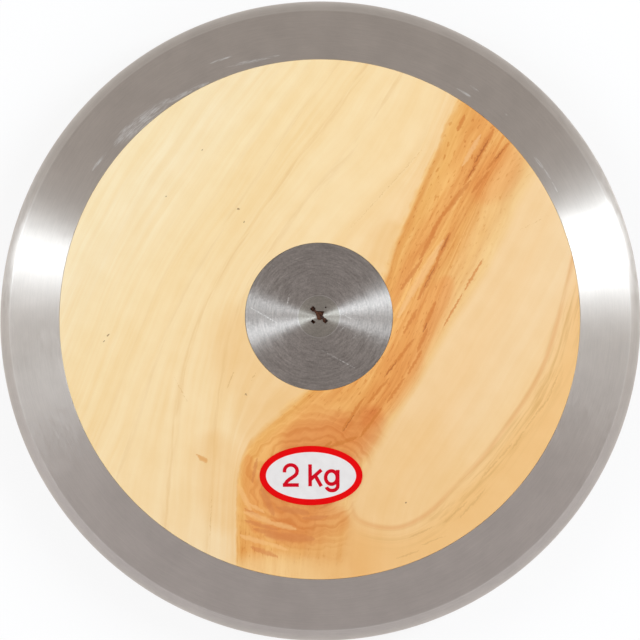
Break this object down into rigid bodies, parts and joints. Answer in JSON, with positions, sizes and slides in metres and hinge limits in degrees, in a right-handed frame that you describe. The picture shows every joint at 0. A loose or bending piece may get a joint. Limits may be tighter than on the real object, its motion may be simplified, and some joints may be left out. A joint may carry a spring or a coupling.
{
  "type": "discus",
  "caption": "Throwing discus with a turned steel rim, lacquered wooden faces and flush steel centre plates held by countersunk screws.",
  "frame": {"origin": "centre of the disc, on its axis and midway between the two flat faces", "axes": "+Z along the disc's axis towards the labelled face, +Y away from the label, +X to the right seen from above"},
  "size_m": [0.22, 0.22, 0.045],
  "materials": {
    "rim_steel": "turned all over and left bare, with fine rings round the axis and light scuffs",
    "plate_steel": "faced in a lathe, with fine rings round the axis",
    "screw_steel": "head turned flush with the plate, dull in the recess",
    "zinc_plated_steel": "zinc plated, dull",
    "lacquered_wood": "turned, sanded and clear lacquered, pale with an orange-brown heartwood figure",
    "dowel_beech": "bare beech dowel rod",
    "label_vinyl": "satin vinyl sticker, white with a red border and plain red lettering"
  },
  "bodies": {
    "root": {"rim": "rim_steel", "front_wood_half": "lacquered_wood", "back_wood_half": "lacquered_wood", "front_plate": "plate_steel", "back_plate": "plate_steel", "front_screw": "screw_steel", "back_screw": "screw_steel", "centre_sleeve": "zinc_plated_steel", "front_trim_washer": "zinc_plated_steel", "back_trim_washer": "zinc_plated_steel", "web_dowel_1": "dowel_beech", "web_dowel_2": "dowel_beech", "web_dowel_3": "dowel_beech", "web_dowel_4": "dowel_beech", "weight_label": "label_vinyl"}
  },
  "joints": []
}
